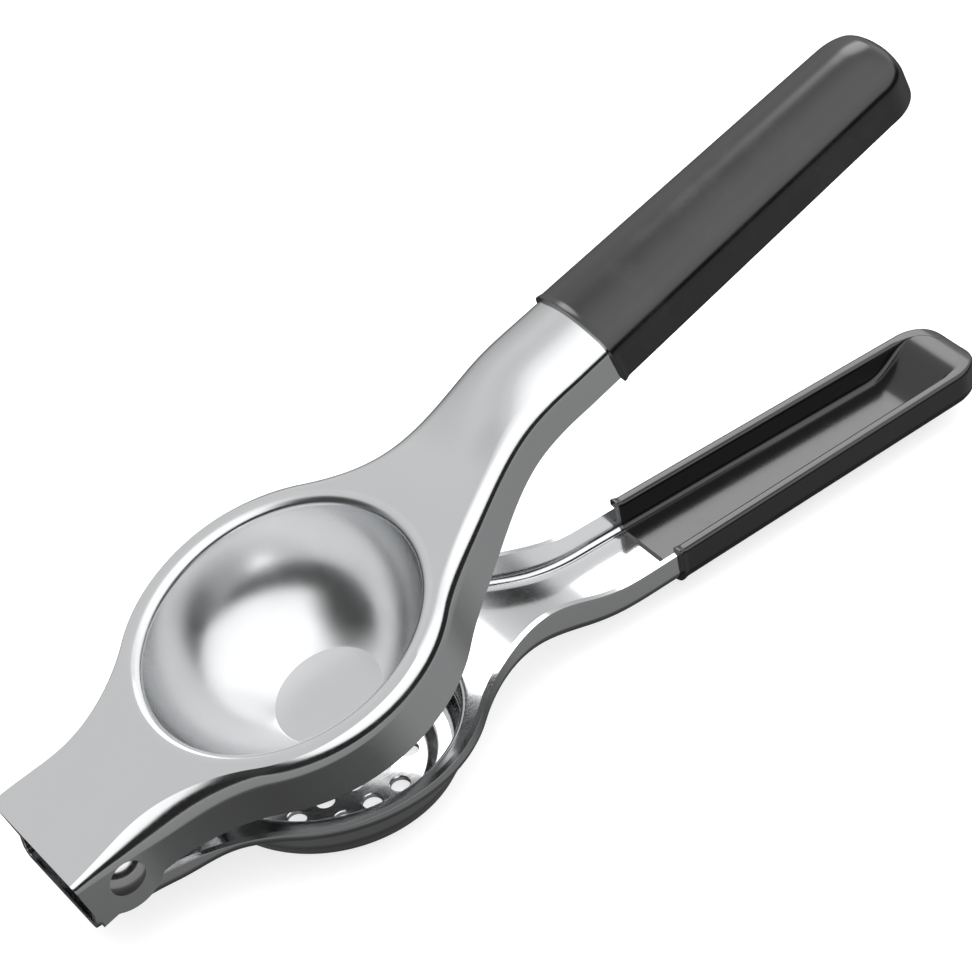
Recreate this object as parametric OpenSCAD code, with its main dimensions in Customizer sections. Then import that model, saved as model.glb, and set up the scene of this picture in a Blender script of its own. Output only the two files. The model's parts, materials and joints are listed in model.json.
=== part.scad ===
// Hand-held citrus squeezer: two stamped sheet arms riveted at the nose, a solid press cup,
// a perforated strainer bowl and a dipped vinyl sleeve on each handle.
// Millimetres. The origin is the centre of the strainer's flat underside. +Z is up, +X points
// along the strainer arm from the hinge to its grip, and the hinge axis is parallel to Y.
// Each arm is drawn in its own frame, with the hinge axis through that frame's origin.

/* [Layout] */
// Distance along an arm from the hinge axis to the centre of its bowl
hinge_to_bowl = 52.2; // [50:0.1:56]
// Height of the hinge axis above the strainer's flat underside
hinge_height = 20.6; // [20.4:0.1:22]
// Angle between the two arms as they stand
open_angle = 15.5; // [1:0.5:55]
// Thickness of both arms' sheet
sheet = 1.2; // [0.8:0.1:1.4]
// Distance from the hinge axis to the end of each steel handle
steel_reach = 203; // [170:1:240]

/* [Nose and hinge] */
// Outer width of the press arm's nose, where its ears are parallel
nose_w = 31.5; // [28:0.2:34]
// Distance from the hinge axis to the nose's front edge
nose_front = 9; // [8:0.1:9.2]
// Radius of the concave blend from the nose to the bowl, in plan
nose_blend_r = 40; // [30:1:42]
// Radius of the press arm's ear below the hinge axis
press_ear_r = 7.7; // [6.5:0.1:8.4]
// Height of the ear's front corner below the hinge axis
press_ear_front = 5.6; // [4:0.1:6]
// Radius of the strainer arm's ear above the hinge axis
strainer_ear_r = 5.6; // [4.8:0.1:5.8]
// Side gap between the two arms where one nests in the other
nest_gap = 0.4; // [0.4:0.05:0.6]
// Diameter of a rivet's shank
rivet_d = 5; // [4:0.1:6]
// Radial running clearance of the shank in the strainer arm's ear
rivet_clear = 0.05; // [0.02:0.01:0.1]
// Diameter of a rivet's domed outer head
head_d = 7.6; // [6.6:0.1:9]
// Height of a rivet's domed outer head
head_h = 1.5; // [0.8:0.1:2]
// Height of a rivet's flattened inner end
tail_h = 1; // [0.6:0.1:1.6]

/* [Press arm] */
// Height of the press arm's top face above the hinge axis
press_top = 7.6; // [7.4:0.1:8.6]
// Outer diameter of the press arm round its bowl
press_bowl_d = 68.8; // [66:0.2:72]
// Depth of the skirt round the press bowl
press_skirt = 12.6; // [11:0.1:12.8]
// Radius of the outer bend at the nose
nose_bend_r = 2; // [1.6:0.1:2.2]
// Radius of the skirt's outer bend round the bowl
press_bend_r = 3.6; // [2.4:0.1:4]
// Diameter of the cup's mouth, measured at the top of its rolled rim
cup_d = 61; // [56:0.2:61.6]
// Depth of the cup, from the top face to its floor
cup_depth = 24.2; // [21:0.1:25]
// Diameter of the cup's flat floor
cup_floor_d = 22.4; // [16:0.2:28]
// Radius of the cup's rolled rim
cup_rim_r = 2; // [1.5:0.1:2.6]

/* [Strainer arm] */
// Distance from the hinge axis down to the underside of the strainer arm's deep nose
nose_drop = 10; // [9:0.1:10.4]
// Distance from the hinge axis down to the underside of the strainer arm's web round the bowl
strainer_drop = 7.2; // [7:0.1:7.6]
// Distance from the hinge axis down to the top of the flange beside the nose
flange_drop = 5; // [4.4:0.1:5.4]
// Distance from the hinge axis down to the top of the flange at the neck
neck_flange_drop = 2.2; // [2:0.1:3]
// Radius of the strainer arm's outer bends
strainer_bend_r = 2.4; // [1.8:0.1:2.8]
// Diameter of the strainer bowl's mouth
bowl_d = 53.8; // [53:0.2:56]
// Diameter of the bowl's inner ledge
ledge_d = 47; // [44:0.2:48]
// Height of the ledge above the strainer's floor
ledge_h = 2.2; // [1.5:0.1:3]
// Diameter of the flat perforated floor
floor_d = 37; // [35.6:0.2:38]
// Diameter of one juice hole
hole_d = 3.9; // [2.5:0.1:4.4]
// Distance between neighbouring juice holes
hole_pitch = 6.6; // [6:0.1:6.8]
// Number of juice holes across the middle row
hole_rows = 5; // [3:2:5]

/* [Handles] */
// Outer width of the press arm's handle
press_handle_w = 22.8; // [20:0.2:26]
// Depth of the press arm's handle channel
press_handle_h = 9.6; // [8:0.1:11]
// Height that the press arm's handle is raised above its bowl
press_rise = 8.4; // [8:0.1:13]
// Height of the arch across the top of the press arm's handle
press_crown = 1.4; // [0:0.1:2.5]
// Outer width of the strainer arm's handle
strainer_handle_w = 22.2; // [20:0.2:26]
// Depth of the strainer arm's handle channel
strainer_handle_h = 7.2; // [6:0.1:9]
// Height that the strainer arm's handle web drops below its bowl's web
strainer_fall = 8.2; // [6:0.1:9]
// Radius of the concave blend from the bowl to the handle, in plan
neck_blend_r = 54; // [50:1:60]
// Angle at which the press arm's straight handle leans away from the strainer arm
handle_flare = 1; // [0:0.1:2]
// Distance by which each side of a straight handle closes in towards its end
handle_taper = 1.6; // [0:0.1:2.4]
// Distance from the centre of the bowl to the start of the handle's set
set_from = 27.8; // [26:0.1:32]
// Distance along an arm that the handle's set runs over
set_run = 42.5; // [38:0.5:46]

/* [Grips] */
// Length of steel that each grip covers
grip_cover = 72; // [40:1:78]
// Length of vinyl beyond the end of the steel
grip_tip = 9; // [8:0.5:14]
// Thickness of the vinyl on every face of the steel
grip_wall = 0.8; // [0.6:0.1:1.2]
// Radius of the grip's rounded tip, in plan
grip_tip_r = 9; // [7:0.5:11]

/* [Hidden] */
steel_color = "#C9CBCD";
vinyl_color = "#151517";
rivet_color = "#B9BBBD";
// Facets on a full circle, on a rivet's bore and on a juice hole
round_fn = 96;
bore_fn = 48;
hole_fn = 32;
// Overlap that joins solids and clears cuts
eps = 0.05;
// Space left round the steel in a grip's pocket
pocket_gap = 0.03;
// Sides of one bend in a section, of the cup's rim and wall, of the bowl's wall and of a rivet's dome
bend_steps = 4;
rim_steps = 6;
cup_steps = 24;
wall_steps = 10;
dome_steps = 8;
// Where the points stand across an arched web, as parts of its half-width
arch_points = [-0.6, 0, 0.6];
// Spacing of the sections near the hinge, round the bowl and along the straight handle
hinge_step = 1.2;
bowl_step = 2;
handle_step = 9;
// Distance that the strainer arm's nose stands back from the press arm's
nose_setback = 1.2;
// Length of flange between an ear and the level part
ear_margin = 3.5;
// Distance that each mid blend of the skirt runs over
blend_run = 24;
// Distance by which the skirt's blend ends before the handle's set does
skirt_lead = 10;
// Least length of bare steel between the handle's set and its grip
bare_run = 2;
// Exponent of the strainer bowl's wall: below 1 is fuller than an ellipse
wall_power = 0.7;
// Width of the sloping step between the strainer's ledge and its floor
floor_step = 2;
// Share of the tip's quarter-circle that its plan runs through, which leaves the end blunt
tip_share = 0.98;

// Bend radius at the bottom of a grip's trough, its least depth and where it starts to shallow
trough_r = 1.2;
min_trough = 0.4;
trough_end = 3;
// Largest part of a half-width or a depth that a bend takes
bend_share = 0.8;
// How much tighter the strainer arm's neck blend is, which keeps it inside the press arm's skirt
neck_step = 4;
nest = sheet + nest_gap;
// Distances along an arm from the hinge axis
hinge_zone = press_ear_r + ear_margin;
set_start = hinge_to_bowl + set_from;
set_end = set_start + set_run;
grip_start = max(steel_reach - grip_cover, set_end + bare_run);
tip_reach = steel_reach + grip_tip;
// Plan of each arm: [half nose, nose blend, half bowl, half handle, neck blend]
press_plan = [nose_w / 2, nose_blend_r, press_bowl_d / 2, press_handle_w / 2, neck_blend_r];
strainer_plan = [
    nose_w / 2 - nest, nose_blend_r + nest, press_bowl_d / 2 - nest,
    strainer_handle_w / 2, neck_blend_r - neck_step
];

// ---------- shared rules ----------

// Smooth step from 0 at a to 1 at b
function ease(x, a, b) =
    let (t = max(0, min(1, (x - a) / (b - a))))
    t * t * t * (t * (6 * t - 15) + 10);

// Place of a blend's centre along the arm: side is -1 for the nose and 1 for the neck
function blend_x(bowl, half, r, side) =
    hinge_to_bowl + side * sqrt(pow(bowl + r, 2) - pow(half + r, 2));

// How far each side of a straight handle has closed in at x
function taper(x) = handle_taper * max(0, x - set_end) / (steel_reach - set_end);

// Half-width of a plan at x, moved outwards by off: line, blend, bowl circle, blend, line
function plan_y(p, x, off) =
    let (
        nx = blend_x(p[2], p[0], p[1], -1),
        hx = blend_x(p[2], p[3], p[4], 1),
        nt = hinge_to_bowl + (nx - hinge_to_bowl) * (p[2] + off) / (p[2] + p[1]),
        ht = hinge_to_bowl + (hx - hinge_to_bowl) * (p[2] + off) / (p[2] + p[4])
    )
    x <= nx ? p[0] + off :
    x < nt ? p[0] + p[1] - sqrt(pow(p[1] - off, 2) - pow(x - nx, 2)) :
    x <= ht ? sqrt(pow(p[2] + off, 2) - pow(x - hinge_to_bowl, 2)) :
    x < hx ? p[3] + p[4] - sqrt(pow(p[4] - off, 2) - pow(x - hx, 2)) :
    p[3] + off - taper(x);

// Sections from one place to another at about the given spacing, without the last
function steps(a, b, d) =
    let (n = max(1, ceil((b - a) / d)))
    [for (i = [0 : n - 1]) a + (b - a) * i / n];

function arm_stations(front) = concat(
    steps(-front, hinge_zone, hinge_step),
    steps(hinge_zone, set_end, bowl_step),
    steps(set_end, steel_reach, handle_step),
    [steel_reach]
);

// One face of a bent sheet at x: off and z of the wall's free edge, its bend and its web.
// up is 1 for a web on top and -1 for a web below; depth moves the face into the sheet.
function face_half(x, p, web, edge, r, up, depth) = concat(
    [[x, plan_y(p, x, -depth), edge]],
    [for (i = [0 : bend_steps])
        let (a = 90 * i / bend_steps, q = r - depth)
        [x, plan_y(p, x, -depth - q * (1 - cos(a))), web - up * r + up * q * sin(a)]]
);

// The whole face, from the -Y edge to the +Y edge, with the web arched by crown
function face(x, p, web, edge, r, up, depth, crown) =
    let (
        h = face_half(x, p, web, edge, r, up, depth),
        n = len(h),
        y = h[n - 1][1],
        z = h[n - 1][2]
    )
    concat(
        [for (q = h) [q[0], -q[1], q[2]]],
        [for (f = arch_points) [x, f * y, z + up * crown * (1 - f * f)]],
        [for (i = [n - 1 : -1 : 0]) h[i]]
    );

// Closed loop round the sheet's section
function sheet_loop(x, p, web, edge, r, up, crown, grow) = concat(
    face(x, p, web + up * grow, edge - up * grow, r + grow, up, -grow, crown),
    [let (f = face(x, p, web + up * grow, edge - up * grow, r + grow, up, sheet + grow, crown))
        for (i = [len(f) - 1 : -1 : 0]) f[i]]
);

// Solid through a list of equal loops, each an outer path followed by an inner path run back.
// flip turns the faces outwards for loops that run the other way round.
module loft(loops, flip = false) {
    n = len(loops[0]);
    last = len(loops) - 1;
    sides = [for (i = [0 : last - 1]) for (j = [0 : n - 1])
        let (k = (j + 1) % n, a = i * n, b = (i + 1) * n)
        flip ? [a + k, a + j, b + j, b + k] : [a + j, a + k, b + k, b + j]];
    caps = [for (e = [0, last]) for (j = [0 : n / 2 - 2])
        let (a = e * n + j, b = e * n + n - 1 - j)
        flip == (e == 0) ? [a, a + 1, b - 1, b] : [b, b - 1, a + 1, a]];
    polyhedron(points = [for (l = loops) for (q = l) q], faces = concat(sides, caps), convexity = 8);
}

// ---------- levels along the arms ----------

// Top face of the press arm
function press_web(x) =
    press_top + press_rise * ease(x, set_start, set_end) + tan(handle_flare) * max(0, x - set_end);

// Depth of the press arm's skirt
function press_depth(x) =
    press_skirt + (press_handle_h - press_skirt) * ease(x, hinge_to_bowl + blend_run, set_end - skirt_lead);

// Free edge of the press arm's skirt, with the round ear under the hinge
function press_edge(x) =
    let (
        skirt = press_web(x) - press_depth(x),
        ear = abs(x) < press_ear_r ? -sqrt(press_ear_r * press_ear_r - x * x) : skirt,
        low = min(skirt, ear)
    )
    x < 0 ? min(low, -press_ear_front) : low;

// Outer bend radius of the press arm
function press_bend(x) =
    nose_bend_r + (press_bend_r - nose_bend_r) * ease(x, press_ear_r, press_ear_r + blend_run);

function press_arch(x) = press_crown * ease(x, set_start, set_end);

// Underside of the strainer arm's web
function strainer_web(x) =
    let (rise = (nose_drop - strainer_drop) * ease(x, press_ear_r, hinge_to_bowl - bowl_d / 2))
    -nose_drop + rise - strainer_fall * ease(x, set_start, set_end);

// Top of the strainer arm's flange where no ear stands on it
function flange_top(x) =
    let (
        t = max(0, min(1, (x - hinge_zone) / (set_start - hinge_zone))),
        level = -flange_drop + (flange_drop - neck_flange_drop) * t,
        handle = strainer_web(x) + strainer_handle_h
    )
    level + (handle - level) * ease(x, set_start, set_end);

// Free edge of the strainer arm's flange, with the round ear above the hinge
function strainer_edge(x) =
    abs(x) < strainer_ear_r ? sqrt(strainer_ear_r * strainer_ear_r - x * x) : flange_top(x);

// ---------- frames ----------

module strainer_frame() {
    translate([-hinge_to_bowl, 0, hinge_height]) children();
}

module press_frame() {
    translate([-hinge_to_bowl, 0, hinge_height]) rotate([0, -open_angle, 0]) children();
}

// ---------- bowls ----------

// Cup's inner sphere runs from the rim's roll to the edge of the floor
cup_wall_r = cup_d / 2 - cup_rim_r;
cup_centre = (pow(cup_wall_r, 2) + pow(cup_rim_r, 2) - pow(cup_floor_d / 2, 2) - pow(cup_depth, 2))
    / (2 * (cup_depth - cup_rim_r));
cup_sphere_r = sqrt(pow(cup_wall_r, 2) + pow(cup_rim_r + cup_centre, 2));

// Half profile of the cup between two faces: depth 0 is the inner face and sheet the outer one
function cup_face(depth) =
    let (
        r = cup_sphere_r + depth,
        top = asin((cup_rim_r + cup_centre) / cup_sphere_r),
        low = asin((cup_depth + cup_centre) / cup_sphere_r)
    )
    [for (i = [0 : cup_steps])
        let (a = top + (low - top) * i / cup_steps)
        [r * cos(a), cup_centre - r * sin(a)]];

module cup() {
    rim = [for (i = [0 : rim_steps])
        let (a = 90 * i / rim_steps)
        [cup_d / 2 - cup_rim_r * sin(a), -cup_rim_r * (1 - cos(a))]];
    outer_rim = [cup_d / 2 + sheet, -sheet + eps];
    inner = cup_face(0);
    outer = cup_face(sheet);
    rotate_extrude($fn = round_fn)
        polygon(concat(
            [[cup_d / 2 + sheet, -eps]],
            rim,
            inner,
            [[0, -cup_depth]],
            [[0, -cup_depth - sheet]],
            [for (i = [cup_steps : -1 : 0]) if (outer[i][1] > -cup_depth - sheet) outer[i]],
            [outer_rim]
        ));
}

// Levels of the strainer bowl's floor and ledge below the underside of its arm's web
bowl_wall_r = bowl_d / 2;
floor_z = -(hinge_height - strainer_drop - sheet);
ledge_z = floor_z + ledge_h;

// Inner face of the bowl from the mouth to the floor; depth thickens it downwards and outwards
function bowl_face(depth) =
    let (
        side = [for (i = [0 : wall_steps])
            let (a = 90 * i / wall_steps)
            [ledge_d / 2 + depth + (bowl_wall_r - ledge_d / 2) * pow(cos(a), wall_power),
             ledge_z - depth * sin(a) + (sheet - ledge_z) * (1 - pow(sin(a), wall_power))]],
        foot = floor_d / 2 + depth / 2
    )
    concat(side, [[foot + floor_step, ledge_z - depth], [foot, floor_z - depth]]);

module bowl() {
    inner = bowl_face(0);
    outer = bowl_face(sheet);
    rotate_extrude($fn = round_fn)
        polygon(concat(
            inner,
            [[0, floor_z], [0, floor_z - sheet]],
            [for (i = [len(outer) - 1 : -1 : 0]) outer[i]]
        ));
}

// Square grid of juice holes without its four corners
module juice_holes() {
    half = (hole_rows - 1) / 2;
    for (i = [-half : half], j = [-half : half])
        if (abs(i) + abs(j) < 2 * half)
            translate([i * hole_pitch, j * hole_pitch, -sheet])
                cylinder(h = 3 * sheet, d = hole_d, $fn = hole_fn);
}

// ---------- steel arms ----------

module press_channel(grow = 0, from = -nose_front) {
    xs = [for (x = arm_stations(nose_front)) if (x >= from - eps) x];
    loft([for (x = xs)
        sheet_loop(x, press_plan, press_web(x), press_edge(x), press_bend(x), 1, press_arch(x), grow)]);
}

module strainer_channel(grow = 0, from = -nose_front) {
    xs = [for (x = arm_stations(nose_front - nose_setback)) if (x >= from - eps) x];
    loft([for (x = xs)
        sheet_loop(x, strainer_plan, strainer_web(x), strainer_edge(x), strainer_bend_r, -1, 0, grow)],
        flip = true);
}

// Cylinder through both ears, centred on the hinge axis
module hinge_bore(d) {
    rotate([90, 0, 0]) cylinder(h = nose_w + sheet, d = d, center = true, $fn = bore_fn);
}

module press_arm() {
    color(steel_color) press_frame() union() {
        difference() {
            press_channel();
            translate([hinge_to_bowl, 0, press_top - 2 * sheet])
                cylinder(h = 3 * sheet, d = cup_d + sheet, $fn = round_fn);
            hinge_bore(rivet_d);
        }
        translate([hinge_to_bowl, 0, press_top]) cup();
    }
}

module strainer_arm() {
    color(steel_color) union() {
        strainer_frame() difference() {
            strainer_channel();
            translate([hinge_to_bowl, 0, -strainer_drop - sheet])
                cylinder(h = 3 * sheet, d = bowl_d + sheet, $fn = round_fn);
            hinge_bore(rivet_d + 2 * rivet_clear);
        }
        difference() {
            translate([0, 0, hinge_height - strainer_drop]) bowl();
            juice_holes();
        }
    }
}

// ---------- rivets ----------

// One rivet on the +Y side: domed head outside, shank through both ears, flattened end inside
module rivet() {
    ear_out = nose_w / 2;
    ear_in = nose_w / 2 - nest - sheet;
    dome_r = (head_d * head_d / 4 + head_h * head_h) / (2 * head_h);
    dome = [for (i = [0 : dome_steps])
        let (a = asin(head_d / 2 / dome_r) * (1 - i / dome_steps))
        [dome_r * sin(a), ear_out + head_h - dome_r * (1 - cos(a))]];
    rotate([-90, 0, 0]) rotate_extrude($fn = round_fn)
        polygon(concat(
            [[0, ear_in - rivet_clear - tail_h]],
            [[head_d / 2 - tail_h / 2, ear_in - rivet_clear - tail_h]],
            [[head_d / 2 - tail_h / 4, ear_in - rivet_clear]],
            [[rivet_d / 2, ear_in - rivet_clear]],
            [[rivet_d / 2, ear_out]],
            dome
        ));
}

module hinge_rivet_left() {
    color(rivet_color) press_frame() rivet();
}

module hinge_rivet_right() {
    color(rivet_color) press_frame() mirror([0, 1, 0]) rivet();
}

// ---------- grips ----------

// Narrowing of the grip's plan in its rounded tip
function tip_off(x, wall) =
    let (
        reach = tip_reach - wall,
        t = max(0, min(1, (x - (reach - grip_tip_r)) / grip_tip_r))
    )
    -grip_tip_r * (1 - sqrt(1 - t * t * tip_share));

function grip_stations() = concat(
    steps(grip_start, tip_reach - grip_tip_r, handle_step),
    steps(tip_reach - grip_tip_r, tip_reach, 1),
    [tip_reach]
);

// Closed loop of a grip's section: its skin outside the channel and its trough inside.
// The trough shallows to nothing in the rounded tip.
function grip_loop(x, p, web, edge, r, up, crown) =
    let (
        q = [p[0], p[1], p[2], p[3] + tip_off(x, 0), p[4]],
        half = plan_y(q, x, 0),
        close = ease(x, tip_reach - grip_tip_r - trough_end, tip_reach - trough_end / 2),
        rim = edge - up * grip_wall,
        depth = up * (web - rim) - sheet - grip_wall,
        left = min_trough + (depth - min_trough) * (1 - close),
        in_half = max(min_trough, half - sheet - grip_wall),
        in_plan = [p[0], p[1], p[2], in_half + taper(x), p[4]],
        in_bend = min(trough_r, bend_share * in_half, bend_share * left),
        bend = min(r, bend_share * half)
    )
    concat(
        face(x, q, web + up * grip_wall, rim, bend + grip_wall, up, -grip_wall, crown),
        [let (f = face(x, in_plan, rim + up * left, rim, in_bend, up, 0, crown * (1 - close)))
            for (i = [len(f) - 1 : -1 : 0]) f[i]]
    );

module press_grip() {
    color(vinyl_color) press_frame() difference() {
        loft([for (x = grip_stations())
            grip_loop(x, press_plan, press_web(x), press_edge(x), press_bend(x), 1, press_arch(x))]);
        press_channel(pocket_gap, set_end);
    }
}

module strainer_grip() {
    color(vinyl_color) strainer_frame() difference() {
        loft([for (x = grip_stations())
            grip_loop(x, strainer_plan, strainer_web(x), strainer_edge(x), strainer_bend_r, -1, 0)],
            flip = true);
        strainer_channel(pocket_gap, set_end);
    }
}

strainer_arm();
strainer_grip();
press_arm();
press_grip();
hinge_rivet_left();
hinge_rivet_right();
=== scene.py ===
# Visual model of a hand-held citrus squeezer: two stamped stainless arms hinged at the nose on short
# rivets, a press cup, a perforated strainer bowl and a dipped vinyl sleeve on each handle.
# Shapes are drawn in millimetres in each arm's own frame, with the hinge axis through its origin,
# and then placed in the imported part's frame in metres.

import json
import logging
import math
from dataclasses import dataclass, field
from enum import Enum

import bpy
import numpy as np
from mathutils import Matrix, Vector


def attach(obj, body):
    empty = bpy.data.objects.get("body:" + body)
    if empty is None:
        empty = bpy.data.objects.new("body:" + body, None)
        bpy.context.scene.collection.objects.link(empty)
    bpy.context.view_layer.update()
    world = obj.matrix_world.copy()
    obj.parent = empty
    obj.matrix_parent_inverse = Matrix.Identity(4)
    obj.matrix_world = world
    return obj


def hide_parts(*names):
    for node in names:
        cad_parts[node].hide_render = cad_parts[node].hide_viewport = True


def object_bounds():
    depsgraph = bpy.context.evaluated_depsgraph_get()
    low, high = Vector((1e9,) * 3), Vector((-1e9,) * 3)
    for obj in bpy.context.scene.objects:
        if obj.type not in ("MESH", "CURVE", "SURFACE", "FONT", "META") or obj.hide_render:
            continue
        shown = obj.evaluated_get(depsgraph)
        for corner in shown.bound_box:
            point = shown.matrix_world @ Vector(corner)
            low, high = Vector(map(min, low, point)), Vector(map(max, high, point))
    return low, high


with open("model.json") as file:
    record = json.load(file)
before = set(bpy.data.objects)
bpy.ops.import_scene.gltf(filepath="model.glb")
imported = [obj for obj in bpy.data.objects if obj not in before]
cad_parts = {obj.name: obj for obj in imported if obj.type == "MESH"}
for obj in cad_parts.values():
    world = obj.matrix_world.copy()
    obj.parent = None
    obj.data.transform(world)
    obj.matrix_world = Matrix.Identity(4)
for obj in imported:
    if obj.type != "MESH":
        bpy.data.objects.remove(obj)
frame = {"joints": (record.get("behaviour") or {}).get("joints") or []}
CAD_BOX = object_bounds()

log = logging.getLogger("citrus_squeezer")
MM = 0.001
RIGHT_ANGLE = math.pi / 2
# A face whose normal rises less than this counts as upright.
UPRIGHT = 0.3
# How far, in millimetres, a point may lie off a wall or a seam and still belong to it.
WALL_SLACK = 0.03
SEAM_SLACK = 0.1
# Edges sharper than this stay crisp, on pressed sheet and on round or dipped pieces.
SHEET_CREASE_DEG = 32
ROUND_CREASE_DEG = 40


class Body(Enum):
    """The two rigid bodies that the hinge joins."""

    STRAINER = "strainer_side"
    PRESS = "press_side"


class Facing(Enum):
    """Which way the web of an arm's channel faces."""

    UP = 1
    DOWN = -1


# ---------- curves ----------


def ease(x: float, a: float, b: float) -> float:
    """Smooth step with no slope or curvature at its ends.

    Args:
        x: Where to read the step.
        a: Where the step is 0.
        b: Where the step is 1.

    Returns:
        A value from 0 to 1.
    """
    t = min(1.0, max(0.0, (x - a) / (b - a)))
    return t * t * t * (t * (6 * t - 15) + 10)


def through(x: float, knots: tuple[tuple[float, float], ...]) -> float:
    """Value of a smooth curve through knots, level at each of them.

    Args:
        x: Where to read the curve.
        knots: Pairs of place and value in rising order.

    Returns:
        The curve's value, held at the first and last knots.
    """
    if x <= knots[0][0]:
        return knots[0][1]
    for (xa, va), (xb, vb) in zip(knots, knots[1:]):
        if x <= xb:
            t = (x - xa) / (xb - xa)
            return va + (vb - va) * t * t * (3 - 2 * t)
    return knots[-1][1]


def filleted(
    points: list[tuple[float, float]], radii: list[float], count: int = 7
) -> list[tuple[float, float]]:
    """Path with its inner corners rounded.

    Args:
        points: Corners of the path.
        radii: Radius at each corner; the ends' values aren't used.
        count: Points on each rounded corner.

    Returns:
        The rounded path.
    """
    path = [points[0]]
    for before, corner, after, radius in zip(points, points[1:], points[2:], radii[1:]):
        p, a, b = Vector(corner), Vector(before), Vector(after)
        u, v = (a - p).normalized(), (b - p).normalized()
        half = u.angle(v) / 2
        reach = radius / math.tan(half)
        centre = p + (u + v).normalized() * radius / math.sin(half)
        start, end = p + u * reach - centre, p + v * reach - centre
        turn = start.angle(end)
        for i in range(count):
            t = i / (count - 1)
            arm = (start * math.sin((1 - t) * turn) + end * math.sin(t * turn)) / math.sin(turn)
            path.append(tuple(centre + arm))
    path.append(points[-1])
    return path


def spread(a: float, b: float, pitch: float) -> list[float]:
    """Places from a up to, but not including, b at about the given pitch."""
    count = max(1, math.ceil((b - a) / pitch))
    return [a + (b - a) * i / count for i in range(count)]


# ---------- bench: the few operations that every piece is made with ----------


def only(*objects: bpy.types.Object) -> None:
    """Selects these objects alone and makes the first one active.

    Args:
        objects: The objects to select.
    """
    if bpy.context.mode != "OBJECT":
        bpy.ops.object.mode_set(mode="OBJECT")
    bpy.ops.object.select_all(action="DESELECT")
    for item in objects:
        item.select_set(True)
    bpy.context.view_layer.objects.active = objects[0]


def apply_modifier(obj: bpy.types.Object, kind: str, **settings: object) -> None:
    """Adds a modifier, sets it up and applies it.

    Args:
        obj: The object to change.
        kind: The modifier's type.
        settings: Values for the modifier's properties.
    """
    only(obj)
    modifier = obj.modifiers.new(kind.title(), kind)
    for name, value in settings.items():
        setattr(modifier, name, value)
    bpy.ops.object.modifier_apply(modifier=modifier.name)


def combine(obj: bpy.types.Object, tool: bpy.types.Object, operation: str) -> None:
    """Joins a tool solid to a solid or cuts it away, and removes the tool.

    Args:
        obj: The solid that stays.
        tool: The solid that is used up.
        operation: UNION or DIFFERENCE.
    """
    apply_modifier(obj, "BOOLEAN", operation=operation, solver="EXACT", object=tool)
    mesh = tool.data
    bpy.data.objects.remove(tool)
    bpy.data.meshes.remove(mesh)


def edit(obj: bpy.types.Object, mode: str = "VERT") -> None:
    """Opens an object in edit mode with nothing selected.

    Args:
        obj: The object.
        mode: What is to be selected: VERT, EDGE or FACE.
    """
    only(obj)
    bpy.ops.object.mode_set(mode="EDIT")
    bpy.ops.mesh.select_mode(type=mode)
    bpy.ops.mesh.select_all(action="DESELECT")


def pick_faces(obj: bpy.types.Object, centre_x: float, radius: float) -> None:
    """Opens an object in edit mode with the upright faces on a cylinder selected.

    Args:
        obj: The object.
        centre_x: Where the cylinder's upright axis stands.
        radius: The cylinder's radius.
    """
    edit(obj, "FACE")
    bpy.ops.object.mode_set(mode="OBJECT")
    points = obj.data.vertices
    for face in obj.data.polygons:
        reach = [math.hypot(points[i].co.x - centre_x, points[i].co.y) for i in face.vertices]
        face.select = abs(face.normal.z) < UPRIGHT and all(abs(r - radius) < WALL_SLACK for r in reach)
    bpy.ops.object.mode_set(mode="EDIT")


def stitch(
    sheet: bpy.types.Object, bowl: bpy.types.Object, centre_x: float, inner: float, outer: float, level: float
) -> None:
    """Joins a thick bowl to the round opening cut for it in a thick sheet, with no seam.

    Args:
        sheet: The solid with the opening; it stays.
        bowl: The solid with an upright rim; it is used up.
        centre_x: Where the bowl's axis stands.
        inner: Radius of the bowl's rim.
        outer: Radius of the opening.
        level: Height midway through the sheet.
    """
    for solid, radius in ((sheet, outer), (bowl, inner)):
        pick_faces(solid, centre_x, radius)
        bpy.ops.mesh.delete(type="FACE")
        bpy.ops.object.mode_set(mode="OBJECT")
    only(sheet, bowl)
    bpy.ops.object.join()
    for side in (1, -1):
        edit(sheet, "EDGE")
        bpy.ops.object.mode_set(mode="OBJECT")
        uses: dict[tuple[int, int], int] = {}
        for face in sheet.data.polygons:
            for key in face.edge_keys:
                uses[key] = uses.get(key, 0) + 1
        points = sheet.data.vertices
        for edge in sheet.data.edges:
            ends = [points[i].co for i in edge.vertices]
            reach = [math.hypot(p.x - centre_x, p.y) for p in ends]
            near = all(inner - SEAM_SLACK < r < outer + SEAM_SLACK for r in reach)
            edge.select = uses.get(edge.key, 0) == 1 and near and all((p.z - level) * side > 0 for p in ends)
        bpy.ops.object.mode_set(mode="EDIT")
        bpy.ops.mesh.bridge_edge_loops()
        bpy.ops.object.mode_set(mode="OBJECT")


def close_ends(obj: bpy.types.Object) -> None:
    """Fills the open rings of a shell with flat caps.

    Args:
        obj: The shell to close.
    """
    edit(obj, "EDGE")
    bpy.ops.mesh.select_non_manifold()
    bpy.ops.mesh.edge_face_add()
    bpy.ops.object.mode_set(mode="OBJECT")


def make_outward(obj: bpy.types.Object) -> None:
    """Merges doubled points and turns every face of a closed shell outwards.

    Args:
        obj: The shell.
    """
    edit(obj)
    bpy.ops.mesh.select_all(action="SELECT")
    bpy.ops.mesh.remove_doubles(threshold=1e-4)
    bpy.ops.mesh.normals_make_consistent(inside=False)
    bpy.ops.object.mode_set(mode="OBJECT")


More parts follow.
